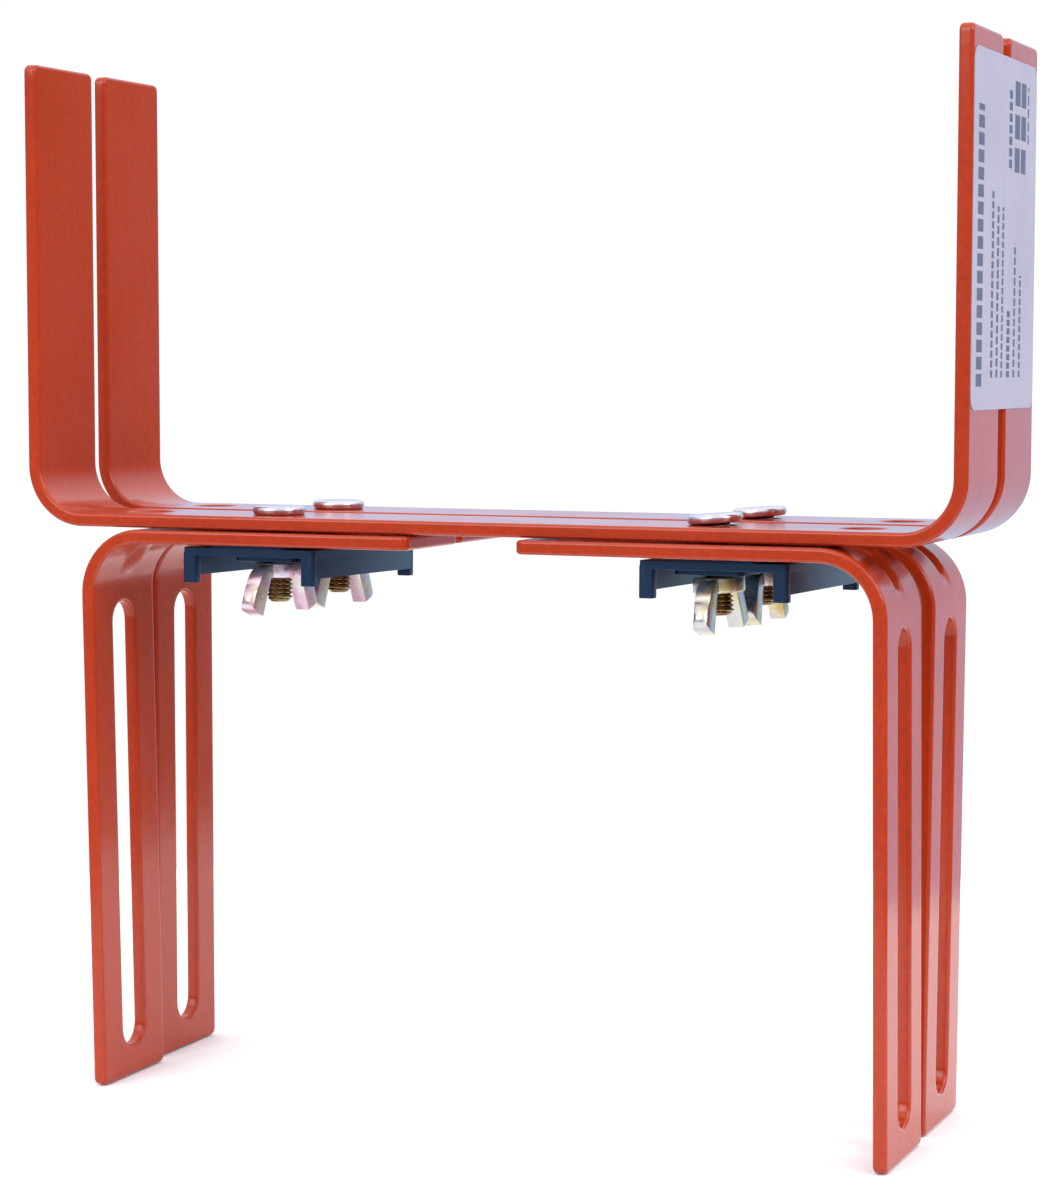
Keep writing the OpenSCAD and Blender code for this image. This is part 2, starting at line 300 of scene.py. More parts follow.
def rounded_rect(L, W, c, S, n_corner=6, n_end=5):
    """closed loop of an L x W rectangle with corner radius c, inset by d; sides sampled at the stations S"""
    side = np.array([c] + [s for s in S if c + 0.3 < s < L - c - 0.3] + [L - c])
    ends = np.linspace(-W / 2 + c, W / 2 - c, n_end)
    arc = np.linspace(0, math.pi / 2, n_corner + 1)[1:-1]

    def f(d):
        r = c - d
        pts = [(s, -W / 2 + d) for s in side]
        pts += [(L - c + r * math.sin(a), -W / 2 + c - r * math.cos(a)) for a in arc]
        pts += [(L - d, v) for v in ends]
        pts += [(L - c + r * math.cos(a), W / 2 - c + r * math.sin(a)) for a in arc]
        pts += [(s, W / 2 - d) for s in side[::-1]]
        pts += [(c - r * math.sin(a), W / 2 - c + r * math.cos(a)) for a in arc]
        pts += [(d, v) for v in ends[::-1]]
        pts += [(c - r * math.cos(a), -W / 2 + c - r * math.sin(a)) for a in arc]
        return np.array(pts)

    def inside(s, y, m):
        qs = np.abs(s - L / 2) - (L / 2 - c)
        qy = np.abs(y) - (W / 2 - c)
        d = np.hypot(np.maximum(qs, 0), np.maximum(qy, 0)) + np.minimum(np.maximum(qs, qy), 0) - c
        return d < -m

    return f, inside


def slot_loop(s0, s1, w, S, n=14):
    """closed loop of a slot with end centres s0, s1; inset d widens it"""
    side = np.array([s0] + [s for s in S if s0 + 0.3 < s < s1 - 0.3] + [s1]) if s1 > s0 + 0.01 else np.array([s0])
    arc = np.linspace(-math.pi / 2, math.pi / 2, n + 1)[1:-1]

    def f(d):
        r = w / 2 + d
        pts = [(s, -r) for s in side]
        pts += [(s1 + r * math.cos(a), r * math.sin(a)) for a in arc]
        pts += [(s, r) for s in side[::-1]]
        pts += [(s0 - r * math.cos(a), -r * math.sin(a)) for a in arc]
        return np.array(pts)

    def outside(s, y, m):
        ds = np.maximum(np.maximum(s0 - s, s - s1), 0)
        return np.hypot(ds, y) > w / 2 + m

    return f, outside


def path_eval(segs, s, turn):
    """middle line of the strap: position and outward normal at the stations s"""
    P = np.zeros((len(s), 2))
    N = np.zeros((len(s), 2))
    start = 0.0
    for i, g in enumerate(segs):
        if g[0] == "line":
            p0, p1 = np.array(g[1], float), np.array(g[2], float)
            length = np.linalg.norm(p1 - p0)
            t = (p1 - p0) / length
            m = (s >= start - 1e-9) & (s <= start + length + 1e-9) if i < len(segs) - 1 else (s >= start - 1e-9)
            P[m] = p0 + np.outer(s[m] - start, t)
            tt = np.tile(t, (m.sum(), 1))
        else:
            c, r, a0, a1 = np.array(g[1], float), g[2], g[3], g[4]
            length = r * abs(a1 - a0)
            m = (s >= start - 1e-9) & (s <= start + length + 1e-9)
            a = a0 + (a1 - a0) * (s[m] - start) / length
            P[m] = c + r * np.stack([np.cos(a), np.sin(a)], 1)
            k = 1 if a1 > a0 else -1
            tt = k * np.stack([-np.sin(a), np.cos(a)], 1)
        N[m] = turn * np.stack([-tt[:, 1], tt[:, 0]], 1)
        start += length
    return P, N


def stations(L, bends, coarse=3.0, fine=0.55):
    S = [0.0]
    while S[-1] < L:
        s = S[-1]
        step = fine if any(a - fine < s < b for a, b in bends) else coarse
        nxt = s + step
        for a, b in bends:
            if s < a - 1e-6 < nxt:
                nxt = a
        S.append(min(nxt, L))
    return np.array(S)


def strap(name, L, W, segs, turn, holes, bends, beads, place, mat):
    """bent flat strap with rounded edges, punched openings and pressed beads in its bends"""
    S = stations(L, bends)
    outer, inside = rounded_rect(L, W, CORNER, S)
    loops, tests = [outer], [lambda s, y, m: inside(s, y, m)]
    for s0, s1, w in holes:
        f, o = slot_loop(s0, s1, w, S)
        loops.append(f)
        tests.append(o)
    # flat outline
    pts, edges, spans = [], [], []
    for f in loops:
        for d in (EDGE, EDGE + 0.35):
            p = f(d)
            base = len(pts)
            pts += [tuple(q) for q in p]
            k = len(p)
            edges += [(base + i, base + (i + 1) % k) for i in range(k)]
            if d == EDGE:
                spans.append((base, k))
    Yc = np.linspace(-W / 2 + 2.2, W / 2 - 2.2, 8)
    Yf = np.linspace(-3.6, 3.6, 15)
    for s in S[1:-1]:
        in_bead = any(a - 1.0 < s < b + 1.0 for a, b in beads and [(c - 8.5, c + 8.5) for c, *_ in beads])
        ys = np.concatenate([Yc[np.abs(Yc) > 4.2], Yf]) if in_bead else Yc
        for y in ys:
            q = (np.array([s]), np.array([y]))
            if all(t(q[0], q[1], EDGE + 0.75)[0] for t in tests):
                pts.append((s, float(y)))
    V, _, F, ov, _, _ = delaunay_2d_cdt([Vector(p) for p in pts], edges, [], 1, 1e-6)
    V = np.array([tuple(v) for v in V])
    index = {}
    for new, olds in enumerate(ov):
        for o in olds:
            index[o] = new
    F = np.array([f for f in F if len(f) == 3])
    cen = V[F].mean(1)
    keep = np.ones(len(F), bool)
    for t in tests:
        keep &= t(cen[:, 0], cen[:, 1], EDGE - 1e-4)
    F = F[keep]
    nV = len(V)
    # rim heights
    q = [(EDGE * (1 - math.sin(a)), T / 2 - EDGE * (1 - math.cos(a))) for a in np.linspace(0, math.pi / 2, 6)]
    levels = q + [(d, -h) for d, h in reversed(q)]
    co = [np.column_stack([V, np.full(nV, T / 2)]), np.column_stack([V, np.full(nV, -T / 2)])]
    faces = [tuple(f) for f in F] + [tuple(int(i) + nV for i in f[::-1]) for f in F]
    total = 2 * nV
    for (base, k), f in zip(spans, loops):
        rings = [[index[base + i] for i in range(k)]]
        for d, h in levels[1:-1]:
            p = f(d)
            rings.append(list(range(total, total + k)))
            co.append(np.column_stack([p, np.full(k, h)]))
            total += k
        rings.append([index[base + i] + nV for i in range(k)])
        for r0, r1 in zip(rings, rings[1:]):
            for i in range(k):
                j = (i + 1) % k
                faces.append((r0[i], r0[j], r1[j], r1[i]))
    co = np.concatenate(co)
    # beads: a pressed hollow outside, a ridge inside
    h = co[:, 2].copy()
    for c, half, wide, depth in beads:
        u = np.clip(np.abs(co[:, 0] - c) / half, 0, 1)
        v = np.clip(np.abs(co[:, 1]) / wide, 0, 1)
        h -= depth * (0.5 + 0.5 * np.cos(math.pi * u)) * (0.5 + 0.5 * np.cos(math.pi * v ** 1.4))
    P, N = path_eval(segs, co[:, 0], turn)
    xz = P + N * h[:, None]
    world = place(xz[:, 0], co[:, 1], xz[:, 1]) * MM
    return build(name, world, faces, mat, weighted=True)


def build(name, verts, faces, mat, smooth=True, weighted=False):
    me = bpy.data.meshes.new(name)
    me.from_pydata([tuple(map(float, v)) for v in verts], [], [tuple(map(int, f)) for f in faces])
    me.update()
    bm = bmesh.new()
    bm.from_mesh(me)
    used = [v for v in bm.verts if not v.link_faces]
    bmesh.ops.delete(bm, geom=used, context="VERTS")
    bmesh.ops.recalc_face_normals(bm, faces=bm.faces)
    bm.to_mesh(me)
    bm.free()
    for p in me.polygons:
        p.use_smooth = smooth
    o = bpy.data.objects.new(name, me)
    scene.collection.objects.link(o)
    me.materials.append(mat)
    if weighted:
        w = o.modifiers.new("normals", "WEIGHTED_NORMAL")
        w.mode = "FACE_AREA"
        w.weight = 60
        w.keep_sharp = True
    return o


def make_cradle(nm, mat):
    lo, hi = box_mm("cradle_strap_" + nm)
    y0 = (lo[1] + hi[1]) / 2
    W = hi[1] - lo[1]
    half = (hi[0] - lo[0]) / 2
    top = hi[2] - lo[2]
    z0 = lo[2]
    r, m = CRADLE_R - T / 2, half - T / 2
    cx = half - CRADLE_R
    arm = top - CRADLE_R
    segs = [("line", (-m, top), (-m, CRADLE_R)), ("arc", (-cx, CRADLE_R), r, math.pi, 1.5 * math.pi),
            ("line", (-cx, T / 2), (cx, T / 2)), ("arc", (cx, CRADLE_R), r, 1.5 * math.pi, 2 * math.pi),
            ("line", (m, CRADLE_R), (m, top))]
    bend = r * math.pi / 2
    L = 2 * arm + 2 * bend + 2 * cx
    mid = L / 2
    holes = [(mid + x, mid + x, 8.0) for x in (-71.5, -44.0, 44.0, 71.5)]
    bends = [(arm, arm + bend), (L - arm - bend, L - arm)]
    place = lambda x, y, z: np.column_stack([x, y + y0, z + z0])
    return strap("strap_cradle_" + nm, L, W, segs, -1, holes, bends, [], place, mat)


def make_jaw(nm, mat):
    node_name = "jaw_strap_" + nm
    lo, hi = box_mm(node_name)
    y0 = (lo[1] + hi[1]) / 2
    W = hi[1] - lo[1]
    top = hi[2]
    right = "right" in nm
    x_out, lean = JAWS[nm][0], math.radians(JAWS[nm][1])
    drop = top - JAW_R * math.sin(lean) + min(0.0, T * math.sin(lean))
    leg = drop - JAW_R
    slot_len = drop - SLOT_TOP - SLOT_TIP
    r = JAW_R - T / 2
    a0 = math.pi + lean
    end = np.array([JAW_R + r * math.cos(a0), -JAW_R + r * math.sin(a0)])
    tip = end + leg * np.array([math.sin(lean), -math.cos(lean)])
    segs = [("line", tuple(tip), tuple(end)), ("arc", (JAW_R, -JAW_R), r, a0, math.pi / 2),
            ("line", (JAW_R, -T / 2), (JAW_REACH, -T / 2))]
    bend = r * (math.pi / 2 + lean)
    L = leg + bend + (JAW_REACH - JAW_R)
    s_h = leg + bend + (42.5 - JAW_R)
    holes = [(SLOT_TIP + SLOT_W / 2, SLOT_TIP + slot_len - SLOT_W / 2, SLOT_W),
             (s_h - 22.5 + 4.25, s_h + 22.5 - 4.25, 8.5)]
    beads = [(leg + r * (math.pi / 4 + lean), 6.0, 2.5, 1.5)]
    sx = -1 if right else 1
    x0 = x_out if right else -x_out
    place = lambda x, y, z: np.column_stack([x0 + sx * x, y + y0, z + top])
    return strap("strap_jaw_" + nm, L, W, segs, 1, holes, [(leg - 0.6, leg + bend + 0.6)], beads, place, mat)


# ---------------------------------------------------------------- small parts
def axis_matrix(x, y, lean):
    z = box_mm("cradle_strap_front")[0][2] + T
    return Matrix.Translation(Vector((x, y, z)) * MM) @ Matrix.Rotation(-lean, 4, "Y")


def lathe(profile, n=64):
    """closed revolve of (radius, height) points in mm about Z; returns verts, faces"""
    verts, faces = [], []
    rings = []
    for r, z in profile:
        if r < 1e-6:
            rings.append([len(verts)])
            verts.append((0, 0, z))
        else:
            rings.append(list(range(len(verts), len(verts) + n)))
            verts += [(r * math.cos(2 * math.pi * i / n), r * math.sin(2 * math.pi * i / n), z) for i in range(n)]
    for a, b in zip(rings, rings[1:]):
        for i in range(n):
            j = (i + 1) % n
            if len(a) == 1 and len(b) == 1:
                continue
            if len(a) == 1:
                faces.append((a[0], b[j], b[i]))
            elif len(b) == 1:
                faces.append((a[i], a[j], b[0]))
            else:
                faces.append((a[i], a[j], b[j], b[i]))
    return verts, faces


def round_corner(p, q, r, c, n=4):
    """points of a rounded corner at c between the directions to p and q"""
    p, q, c = Vector(p), Vector(q), Vector(c)
    a, b = (p - c).normalized(), (q - c).normalized()
    out = []
    for i in range(n + 1):
        t = i / n
        u = (1 - t) * (1 - t)
        v = t * t
        out.append(tuple(c + a * r * u + b * r * v))
    return out


def make_bolt(nm, x, y, lean, lift, mat):
    """flat round head and a shank with a rolled 0.8 mm thread"""
    R = HEAD_D / 2
    prof = [(0, HEAD_H), (R * 0.55, HEAD_H - 0.03)]
    prof += round_corner((0, HEAD_H), (R, 0.4), 1.0, (R - 0.02, HEAD_H - 0.10), 5)
    prof += round_corner((R, HEAD_H), (R - 0.6, 0), 0.3, (R - 0.28, 0.02), 3)
    prof += [(BR + 0.45, 0.0), (BR + 0.15, -0.12), (BR - 0.02, -0.45)]
    v, f = lathe(prof, 72)
    # thread
    n_a, n_z = 48, 10
    pitch = 0.8
    z_top, z_bot = -1.2, -BOLT_LEN
    rows = int((z_top - z_bot) / pitch * n_z)
    base = len(v)
    k_head = 72
    # collar joining head to thread
    grid = []
    for i in range(rows + 1):
        z = z_top + (z_bot - z_top) * i / rows
        ring = []
        for j in range(n_a):
            a = 2 * math.pi * j / n_a
            ph = ((z / pitch) + j / n_a) % 1.0
            tri = abs(2 * ph - 1)                 # 0 crest .. 1 root
            depth = 0.47 * min(max((tri - 0.12) / 0.76, 0), 1)
            r = BR - depth
            cham = BR - 0.85 + (z - z_bot) * 1.0  # pointed end
            fade = min(max((z_top - z) / 0.5, 0), 1)
            r = BR - depth * fade
            r = min(r, cham)
            ring.append(len(v))
            v.append((r * math.cos(a), r * math.sin(a), z))
        grid.append(ring)
    for r0, r1 in zip(grid, grid[1:]):
        for j in range(n_a):
            k = (j + 1) % n_a
            f.append((r0[j], r0[k], r1[k], r1[j]))
    # ends of the thread
    top = len(v)
    v.append((0, 0, z_top))
    bot = len(v)
    v.append((0, 0, z_bot))
    for j in range(n_a):
        k = (j + 1) % n_a
        f.append((grid[0][k], grid[0][j], top))
        f.append((grid[-1][j], grid[-1][k], bot))
    # close the head underneath
    c = len(v)
    v.append((0, 0, prof[-1][1]))
    last = list(range(base - k_head, base))
    for j in range(k_head):
        f.append((last[j], last[(j + 1) % k_head], c))
    # plain neck between head and thread
    nv, nf = lathe([(0, -0.1), (BR - 0.02, -0.1), (BR - 0.02, z_top - 0.35), (0, z_top - 0.35)], 48)
    off = len(v)
    v += nv
    f += [tuple(i + off for i in q) for q in nf]
    o = build("bolt_piece_" + nm, np.array(v) * MM, f, mat)
    M = axis_matrix(x, y, lean) @ Matrix.Translation((0, 0, lift * MM))
    o.data.transform(M)
    sharp_by_angle(o, 40)
    return o


BR = 2.5


def sharp_by_angle(o, deg):
    bm = bmesh.new()
    bm.from_mesh(o.data)
    lim = math.radians(deg)
    for e in bm.edges:
        if len(e.link_faces) == 2:
            e.smooth = e.calc_face_angle(0) < lim
        else:
            e.smooth = False
    bm.to_mesh(o.data)
    bm.free()


def bevelled(bm, width, segs=2, angle=28):
    edges = [e for e in bm.edges if len(e.link_faces) == 2 and e.calc_face_angle(0) > math.radians(angle)]
    bmesh.ops.bevel(bm, geom=edges, offset=width, segments=segs, profile=0.7, affect="EDGES", clamp_overlap=True)


def prism(outline, z0, z1, width=0.25, segs=2):
    """bevelled prism from a 2-D outline, mm"""
    bm = bmesh.new()
    vs = [bm.verts.new((x, y, z0)) for x, y in outline]
    face = bm.faces.new(vs)
    r = bmesh.ops.extrude_face_region(bm, geom=[face])
    bmesh.ops.translate(bm, verts=[g for g in r["geom"] if isinstance(g, bmesh.types.BMVert)], vec=(0, 0, z1 - z0))
    bmesh.ops.recalc_face_normals(bm, faces=bm.faces)
    if width:
        bevelled(bm, width, segs)
    return bm


def to_object(bm, name, scale=True):
    me = bpy.data.meshes.new(name)
    bmesh.ops.recalc_face_normals(bm, faces=bm.faces)
    bm.to_mesh(me)
    bm.free()
    o = bpy.data.objects.new(name, me)
    scene.collection.objects.link(o)
    return o


def boolean(base, others, op="UNION"):
    for t in others:
        m = base.modifiers.new("b", "BOOLEAN")
        m.operation = op
        m.solver = "EXACT"
        m.object = t
        dg = bpy.context.evaluated_depsgraph_get()
        me = bpy.data.meshes.new_from_object(base.evaluated_get(dg))
        base.modifiers.clear()
        old = base.data
        base.data = me
        bpy.data.meshes.remove(old)
    for t in others:
        d = t.data
        bpy.data.objects.remove(t)
        bpy.data.meshes.remove(d)
    return base


NUT = dict(hub_d=9.4, hub_h=3.0, tilt=21.0, wing_w=4.6, fold=1.47, start=4.3)


def apply_bevel(o, width, angle=33, segments=3):
    m = o.modifiers.new("bevel", "BEVEL")
    m.width = width
    m.segments = segments
    m.limit_method = "ANGLE"
    m.angle_limit = math.radians(angle)
    m.use_clamp_overlap = True
    dg = bpy.context.evaluated_depsgraph_get()
    me = bpy.data.meshes.new_from_object(o.evaluated_get(dg))
    o.modifiers.clear()
    old = o.data
    o.data = me
    bpy.data.meshes.remove(old)
    return o


def make_nut(nm, x, y, lean, down, turn, mat):
    """pressed wing nut: round threaded boss and two wings of sheet folded flat on itself"""
    N = NUT
    h, hh = N["hub_d"] / 2, N["hub_h"]
    v, f = lathe([(0, 0), (h - 0.35, 0), (h, -0.35), (h, -hh + 0.5), (h - 0.15, -hh + 0.15), (h - 0.55, -hh), (0, -hh)], 48)
    bm = bmesh.new()
    vs = [bm.verts.new(q) for q in v]
    for q in f:
        bm.faces.new([vs[i] for i in q])
    hub = to_object(bm, "hub")
    R, W = N["fold"], N["wing_w"]
    tools = []
    for s in (-1, 1):
        # sheet seen from above, fold outwards
        out = [(R, -3.0), (R, W - R)]
        out += [(R * math.cos(math.pi * i / 14), W - R + R * math.sin(math.pi * i / 14)) for i in range(1, 14)]
        out += [(-R, W - R), (-R, -3.0)]
        a = to_object(prism([(q[0], s * q[1]) for q in out], -11.0, 4.0, 0), "wing")
        a.data.transform(Matrix.Translation((0, s * N["start"], -0.6)) @ Matrix.Rotation(math.radians(s * N["tilt"]), 4, "X"))
        # seen from the side: round shoulder, leaning wing, rounded tip
        side = [(3.0, -2.7), (3.0, -0.4), (4.6, -0.4), (5.5, -0.5), (6.3, -0.78), (7.0, -1.17), (7.6, -1.62), (8.15, -2.17),
                (8.6, -2.75), (8.95, -3.3), (9.2, -3.85), (11.32, -6.25), (11.46, -6.7), (11.48, -7.15), (11.38, -7.65),
                (11.15, -8.1), (10.85, -8.45), (10.4, -8.87), (7.95, -9.85), (5.5, -3.7), (5.0, -2.7)]
        bm = bmesh.new()
        vs = [bm.verts.new((-3.0, s * q[0], q[1])) for q in side]
        face = bm.faces.new(vs)
        r = bmesh.ops.extrude_face_region(bm, geom=[face])
        bmesh.ops.translate(bm, verts=[g for g in r["geom"] if isinstance(g, bmesh.types.BMVert)], vec=(6.0, 0, 0))
        tools.append(boolean(a, [to_object(bm, "side")], "INTERSECT"))
    o = boolean(hub, tools)
    v, f = lathe([(0, 5), (BR + 0.05, 5), (BR + 0.05, -20), (0, -20)], 48)
    bm = bmesh.new()
    vs = [bm.verts.new(q) for q in v]
    for q in f:
        bm.faces.new([vs[i] for i in q])
    o = boolean(o, [to_object(bm, "bore")], "DIFFERENCE")
    o = apply_bevel(o, 0.16)
    o.name = o.data.name = "nut_piece_" + nm
    z = HUB_TOP - (y + 4.8 + PLATE_L / 2) * math.sin(PLATE_TILT) - (DECK + T) - down
    M = axis_matrix(x, y, lean) @ Matrix.Translation((0, 0, z * MM)) @ Matrix.Rotation(math.radians(turn), 4, "Z") @ Matrix.Scale(MM, 4)
    o.data.transform(M)
    o.data.materials.clear()
    o.data.materials.append(mat)
    for q in o.data.polygons:
        q.use_smooth = True
        q.material_index = 0
    sharp_by_angle(o, 38)
    return o


def rrect_outline(x, y, r, n=5):
    pts = []
    for cx, cy, a0 in ((x / 2 - r, y / 2 - r, 0), (-x / 2 + r, y / 2 - r, 90), (-x / 2 + r, -y / 2 + r, 180), (x / 2 - r, -y / 2 + r, 270)):
        for i in range(n + 1):
            a = math.radians(a0 + 90 * i / n)
            pts.append((cx + r * math.cos(a), cy + r * math.sin(a)))
    return pts


def slot_outline(length, w, n=12):
    pts = []
    for s, a0 in ((1, -90), (-1, 90)):
        for i in range(n + 1):
            a = math.radians(a0 + 180 * i / n)
            pts.append((s * (length - w) / 2 + w / 2 * math.cos(a), w / 2 * math.sin(a)))
    return pts


PLATE_L, PLATE_TILT, SLAB_T = 44.2, math.radians(0.9), 1.6
PAD_TOP = 108.5 - 3.0


def make_plate(side, bolt_dx, mat):
    lo, hi = box_mm("clamp_plate_" + side)
    cx = (lo[0] + hi[0]) / 2
    w, l, top = hi[0] - lo[0], PLATE_L, PAD_TOP
    slab_top = top - 0.4
    wall_bot, lip_bot = top - 5.8, top - 7.2
    boss_bot = slab_top - SLAB_T - 1.0
    ys = [BOLT_Y["front"], BOLT_Y["rear"]]

    def at(bm, x, y):
        bmesh.ops.translate(bm, verts=bm.verts, vec=(x, y, 0))
        return bm

    base = to_object(prism(rrect_outline(w, l, 1.2), slab_top - SLAB_T, slab_top, 0.25, 3), "plate")
    others = [to_object(prism(rrect_outline(w - 12.4, l - 0.1, 0.6), slab_top - 0.5, top, 0.12, 2), "pad")]
    for s in (-1, 1):
        others.append(to_object(at(prism(rrect_outline(1.8, l - 3.1, 0.35, 3), wall_bot, slab_top - 0.6, 0.22, 2), s * (w / 2 - 0.92), 0), "wall"))
        for t in (-1, 1):
            others.append(to_object(at(prism(rrect_outline(2.8, 2.5, 0.7), lip_bot, slab_top - 0.83, 0.28, 2),
                                       s * (w / 2 - 1.44), t * (l / 2 - 1.29)), "peg"))
    for y in ys:
        others.append(to_object(at(prism(rrect_outline(13, 13, 2), boss_bot, boss_bot + 1.3, 0.25, 2), bolt_dx, y), "boss"))
    o = boolean(base, others)
    cuts = [to_object(at(prism(slot_outline(9, 6.2), slab_top - 4, slab_top + 6, 0), bolt_dx, y), "cut") for y in ys]
    o = boolean(o, cuts, "DIFFERENCE")
    o.name = o.data.name = "plate_piece_" + side
    # hangs a little lower at the rear bracket
    o.data.transform(Matrix.Scale(MM, 4) @ Matrix.Translation((cx, -l / 2, top)) @ Matrix.Rotation(-PLATE_TILT, 4, "X")
                     @ Matrix.Translation((0, l / 2, -top)))
    o.data.materials.clear()
    o.data.materials.append(mat)
    for p in o.data.polygons:
        p.use_smooth = True
        p.material_index = 0
    sharp_by_angle(o, 40)
    return o


def make_label(mat):
    """self-adhesive label across both arms, pulled a little into the gap between them"""
    lo, hi = box_mm("bundle_label")
    W, H = hi[1] - lo[1], hi[2] - lo[2]
    r, t = 2.5, 0.14
    ny, nz = 46, 60
    yy = np.linspace(0, W, ny)
    zz = np.linspace(0, H, nz)
    ys, zs = np.meshgrid(yy, zz, indexing="ij")
    # square grid drawn into the rounded outline
    u, v = ys - W / 2, zs - H / 2
    ex = np.maximum(np.abs(u) - (W / 2 - r), 0)
    ez = np.maximum(np.abs(v) - (H / 2 - r), 0)
    d = np.hypot(ex, ez)
    k = np.where(d > 1e-9, np.maximum(ex, ez) / np.maximum(d, 1e-9), 1.0)
    u = np.sign(u) * (np.abs(u) - ex + ex * k)
    v = np.sign(v) * (np.abs(v) - ez + ez * k)
    gap = 0.05 * np.cos(np.clip(np.abs(u) / 2.6, 0, 1) * math.pi) - 0.05
    wave = 0.02 * np.sin(v / 9.0 + u / 12.0)
    x = hi[0] - t - 0.005 + gap * 0.6 + wave * 0.2 - 0.01
    front = np.stack([x + t * 0 + t, u + (lo[1] + hi[1]) / 2, v + (lo[2] + hi[2]) / 2], -1).reshape(-1, 3)
    back = np.stack([np.full_like(x, lo[0] + 0.004), u + (lo[1] + hi[1]) / 2, v + (lo[2] + hi[2]) / 2], -1).reshape(-1, 3)
    verts = np.concatenate([front, back])
    faces = []
    n = ny * nz
    idx = lambda i, j: i * nz + j
    for i in range(ny - 1):
        for j in range(nz - 1):
            q = (idx(i, j), idx(i + 1, j), idx(i + 1, j + 1), idx(i, j + 1))
            faces.append(q)
            faces.append(tuple(n + a for a in q[::-1]))
    rim = [idx(i, 0) for i in range(ny)] + [idx(ny - 1, j) for j in range(1, nz)] + \
          [idx(i, nz - 1) for i in range(ny - 2, -1, -1)] + [idx(0, j) for j in range(nz - 2, 0, -1)]
    for a, b in zip(rim, rim[1:] + rim[:1]):
        faces.append((a, n + a, n + b, b))
    o = build("label_piece", verts * MM, faces, mat)
    sharp_by_angle(o, 50)
    return o


# ---------------------------------------------------------------- the object
HUB_TOP = PAD_TOP - 0.4 - SLAB_T - 1.05
DECK = box_mm("cradle_strap_front")[0][2]
red_a = coating("red_coating_a", 0.0)
red_b = coating("red_coating_b", 3.7)
navy = navy_plastic("navy_plastic")
steel = zinc("zinc_steel")
nut_left = chromate("chromate_steel", PINKISH)
nut_right = chromate("chromate_steel_straw", STRAW)
lab_lo, lab_hi = box_mm("bundle_label")
paper = label_paper("label_paper", lab_lo, lab_hi)

pieces = []


def add(o, body, cad):
    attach(o, body)
    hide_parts(cad)
    pieces.append(o)
    return o


for nm, mat in (("front", red_a), ("rear", red_b)):
    add(make_cradle(nm, mat), "brackets", "cradle_strap_" + nm)
for nm, mat in (("front_left", red_a), ("front_right", red_a), ("rear_left", red_b), ("rear_right", red_b)):
    add(make_jaw(nm, mat), "jaw_" + nm + "_body", "jaw_strap_" + nm)

Y = BOLT_Y
BX = {"left": -43.5, "right": 44.1}
TURN = {"front_left": -5, "rear_left": -4, "front_right": 0, "rear_right": 2}
for side, bdx in (("left", 0.0), ("right", 9 * math.sin(BOLT_LEAN))):
    lo, hi = box_mm("clamp_plate_" + side)
    pc = (lo[0] + hi[0]) / 2
    add(make_plate(side, BX[side] + bdx - pc, navy), "clamp_plate_%s_body" % side, "clamp_plate_" + side)
    for row in ("front", "rear"):
        nm = row + "_" + side
        lean = BOLT_LEAN if side == "right" else 0.0
        lift = HEAD_D / 2 * math.sin(BOLT_LEAN) if side == "right" else 0.0
        add(make_bolt(nm, BX[side], Y[row], lean, lift, steel), "brackets", "bolt_" + nm)
        add(make_nut(nm, BX[side], Y[row], lean, 0.28 if side == "right" else 0.0, TURN[nm], nut_left if side == "left" else nut_right),
            "wing_nut_%s_body" % nm, "wing_nut_" + nm)
add(make_label(paper), "brackets", "bundle_label")

# ---------------------------------------------------------------- floor
bm = bmesh.new()
bmesh.ops.create_circle(bm, cap_ends=True, segments=96, radius=0.27)
fl = bpy.data.meshes.new("floor")
bm.to_mesh(fl)
bm.free()
floor = bpy.data.objects.new("floor", fl)
floor.location.z = cad_lo.z - 0.0002
scene.collection.objects.link(floor)
fm, nt, p = new_material("floor_pale")
n = noise(nt, coords(nt), 9.0, 2.0, 0.5)
nt.links.new(ramp(nt, n, [(0.3, (0.93, 0.935, 0.94)), (0.7, (0.945, 0.945, 0.95))]), p.inputs["Base Color"])
p.inputs["Roughness"].default_value = 0.9
p.inputs["Specular IOR Level"].default_value = 0.1
fl.materials.append(fm)

# ---------------------------------------------------------------- light
world = bpy.data.worlds.new("studio")
scene.world = world
world.use_nodes = True
nt = world.node_tree
nt.nodes.clear()
out = nt.nodes.new("ShaderNodeOutputWorld")
tc = nt.nodes.new("ShaderNodeTexCoord")
sep = nt.nodes.new("ShaderNodeSeparateXYZ")
nt.links.new(tc.outputs["Generated"], sep.inputs[0])
az = nt.nodes.new("ShaderNodeMath")
az.operation = "ARCTAN2"
nt.links.new(sep.outputs[0], az.inputs[0])
nt.links.new(sep.outputs[1], az.inputs[1])
turn = maprange(nt, az.outputs[0], -math.pi, math.pi, 0.0, 1.0)
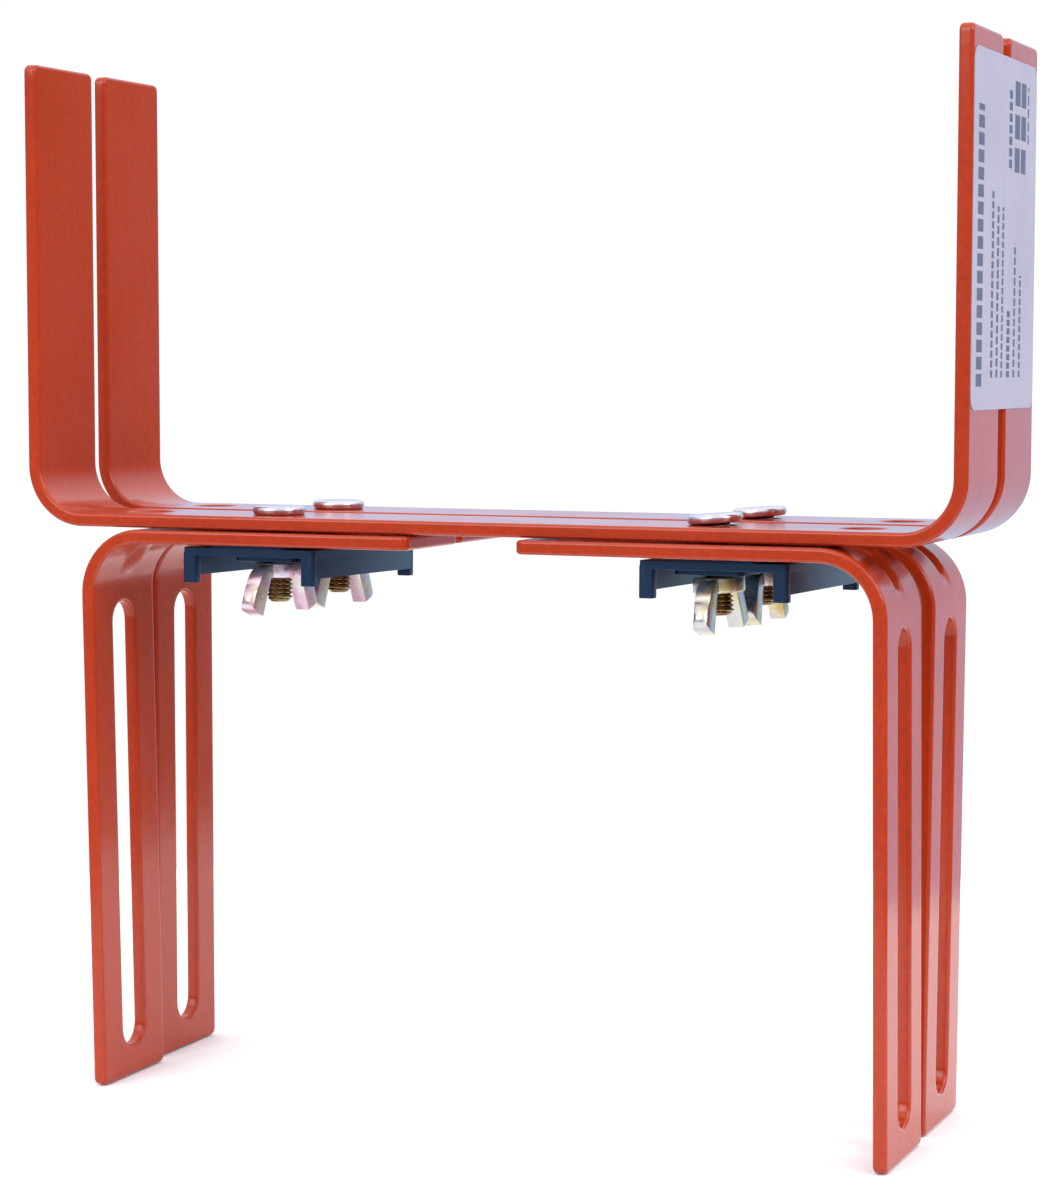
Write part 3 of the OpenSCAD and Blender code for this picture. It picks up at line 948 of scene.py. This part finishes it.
# soft walls of the room: bluish and bright behind, dimmer on the near side
walls = ramp(nt, turn, [
    (0.0, (0.40, 0.38, 0.42)), (0.22, (0.42, 0.44, 0.52)), (0.32, (0.60, 0.86, 1.15)),
    (0.563, (0.60, 0.86, 1.15)), (0.587, (0.30, 0.26, 0.20)), (0.72, (0.34, 0.34, 0.38)), (1.0, (0.40, 0.38, 0.42))])
lift = maprange(nt, sep.outputs[2], 0.16, 0.62, 0.0, 1.0)
sky = mix_color(nt, lift, walls, (1.50, 1.50, 1.56))
down = maprange(nt, sep.outputs[2], -0.22, -0.42, 0.0, 1.0)
sky = mix_color(nt, down, sky, (1.02, 1.02, 1.06))
room = nt.nodes.new("ShaderNodeBackground")
nt.links.new(sky, room.inputs["Color"])
room.inputs["Strength"].default_value = 1.0
plain = nt.nodes.new("ShaderNodeBackground")
plain.inputs["Color"].default_value = (1.0, 1.0, 1.0, 1)
plain.inputs["Strength"].default_value = 1.05
lp = nt.nodes.new("ShaderNodeLightPath")
mx = nt.nodes.new("ShaderNodeMixShader")
nt.links.new(lp.outputs["Is Camera Ray"], mx.inputs[0])
nt.links.new(room.outputs[0], mx.inputs[1])
nt.links.new(plain.outputs[0], mx.inputs[2])
nt.links.new(mx.outputs[0], out.inputs[0])


def area(name, loc, aim, size, power, color=(1, 1, 1)):
    d = bpy.data.lights.new(name, "AREA")
    d.shape = "SQUARE"
    d.size = size
    d.energy = power
    d.color = color
    o = bpy.data.objects.new(name, d)
    o.location = loc
    o.rotation_euler = (Vector(aim) - Vector(loc)).to_track_quat("-Z", "Y").to_euler()
    scene.collection.objects.link(o)
    return o


area("key", (-0.45, -1.15, 0.75), (0, 0, 0.1), 0.8, 7.0)
area("fill", (1.3, -0.2, 0.9), (0, 0, 0.1), 0.8, 10.0, (0.97, 0.97, 1.0))

# ---------------------------------------------------------------- camera
cam_data = bpy.data.cameras.new("camera")
cam = bpy.data.objects.new("camera", cam_data)
scene.collection.objects.link(cam)
C = Vector((0.21539, -0.47888 - 0.023, 0.03091 + 0.1085))
yaw, pitch, roll, focal = 0.4006, 0.0806, 0.0014, 2906.1
fwd = Vector((-math.sin(yaw) * math.cos(pitch), math.cos(yaw) * math.cos(pitch), -math.sin(pitch)))
right = Vector((math.cos(yaw), math.sin(yaw), 0))
up = right.cross(fwd)
r2 = right * math.cos(roll) + up * math.sin(roll)
u2 = -right * math.sin(roll) + up * math.cos(roll)
M = Matrix((r2, u2, -fwd)).transposed().to_4x4()
M.translation = C
cam.matrix_world = M
cam_data.sensor_fit = "HORIZONTAL"
cam_data.sensor_width = 36.0
cam_data.lens = 36.0 * focal / 1059.0
cam_data.clip_start = 0.01
cam_data.clip_end = 50
scene.camera = cam
scene.view_settings.view_transform = "Standard"

# ---------------------------------------------------------------- final scene update
bpy.context.view_layer.update()
